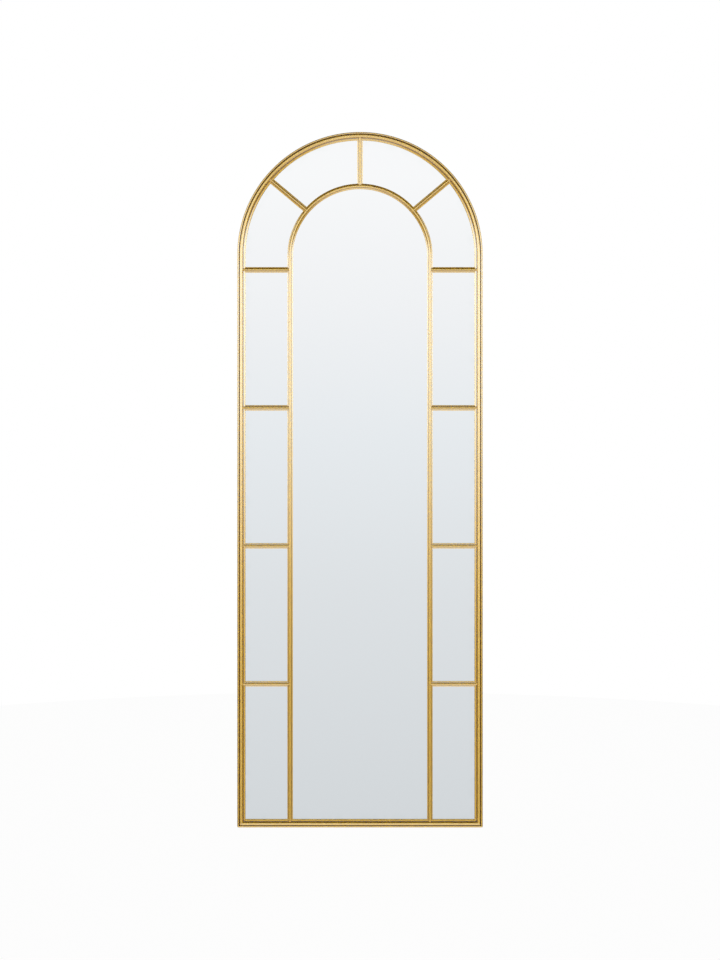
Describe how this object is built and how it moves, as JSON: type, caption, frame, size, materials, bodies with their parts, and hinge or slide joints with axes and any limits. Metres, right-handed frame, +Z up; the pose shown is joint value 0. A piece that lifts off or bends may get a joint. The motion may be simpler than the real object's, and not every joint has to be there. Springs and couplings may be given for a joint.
{
  "type": "wall mirror",
  "caption": "Tall arched wall mirror with a beaded gold metal frame and a raised lattice of slim gold bars over one mirror sheet, hung from keyhole brackets.",
  "frame": {"origin": "on the wall, midway between the entry holes of the two keyhole brackets", "axes": "+X right as seen from the front, +Y into the wall, +Z up"},
  "size_m": [0.6, 0.028, 1.7],
  "materials": {
    "gold_paint": "metallic gold paint, satin to glossy",
    "mirror": "silvered float glass",
    "soft_tape": "black foam tape",
    "foam_tape": "white foam tape, sticky on both sides",
    "fibreboard": "raw brown fibreboard",
    "zinc_steel": "bright zinc plate"
  },
  "bodies": {
    "root": {"outer_arch_rail": "gold_paint", "bottom_rail": "gold_paint", "inner_arch_bar": "gold_paint", "crossbar_right_1": "gold_paint", "crossbar_left_1": "gold_paint", "crossbar_right_2": "gold_paint", "crossbar_left_2": "gold_paint", "crossbar_right_3": "gold_paint", "crossbar_left_3": "gold_paint", "crossbar_right_4": "gold_paint", "crossbar_left_4": "gold_paint", "fan_bar_left": "gold_paint", "fan_bar_centre": "gold_paint", "fan_bar_right": "gold_paint", "retaining_tabs": "gold_paint", "hanger_bracket_right": "gold_paint", "hanger_bracket_left": "gold_paint", "glazing_tape": "soft_tape", "mirror_glass": "mirror", "mounting_tape": "foam_tape", "backing_board": "fibreboard", "tab_screws": "zinc_steel"}
  },
  "joints": []
}
